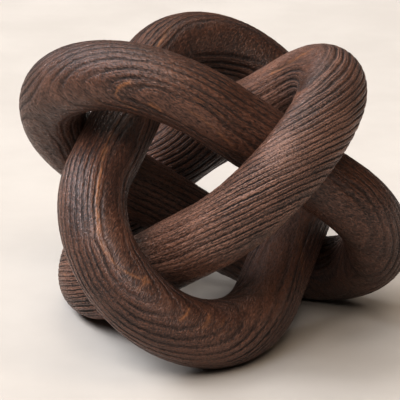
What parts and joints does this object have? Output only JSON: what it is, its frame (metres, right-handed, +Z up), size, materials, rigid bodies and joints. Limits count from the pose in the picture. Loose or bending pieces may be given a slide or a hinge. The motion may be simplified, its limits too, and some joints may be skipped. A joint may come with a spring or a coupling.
{
  "type": "wooden chain sculpture",
  "caption": "Loose oval links of round, dark brushed wood, threaded through one another so that none comes free; stands on the ends of its links as a tabletop ornament.",
  "frame": {"origin": "on the floor under the middle of the set's bounding box", "axes": "+Z up, -Y towards the viewer of the picture, +X to the viewer's right"},
  "size_m": [0.1614, 0.1617, 0.1306],
  "materials": {
    "left_link_wood": "dark brown stain on wire-brushed softwood, matt to satin",
    "rear_link_wood": "dark brown stain on wire-brushed softwood, matt to satin, reddish rubbed edges",
    "right_link_wood": "dark brown stain on wire-brushed softwood with strong black grooves, matt to satin",
    "dowel_wood": "plain unfinished beech"
  },
  "bodies": {
    "left_link": {"left_link": "left_link_wood"},
    "rear_link": {"rear_link": "rear_link_wood"},
    "right_link": {"right_link_raised_part": "right_link_wood", "right_link_standing_part": "right_link_wood", "right_link_upper_dowel": "dowel_wood", "right_link_lower_dowel": "dowel_wood"}
  },
  "joints": [
    {"name": "rear_link_rock", "type": "hinge", "parent": "left_link", "child": "rear_link", "pos_m": [0.00717, -0.0456, 0.0135], "axis": [0.8208, -0.0407, -0.5698], "range_deg": [0, 16]},
    {"name": "right_link_rock", "type": "hinge", "parent": "left_link", "child": "right_link", "pos_m": [-0.05261, 0.01545, 0.0135], "axis": [0.6414, -0.4409, 0.6278], "range_deg": [0, 8.5]}
  ]
}
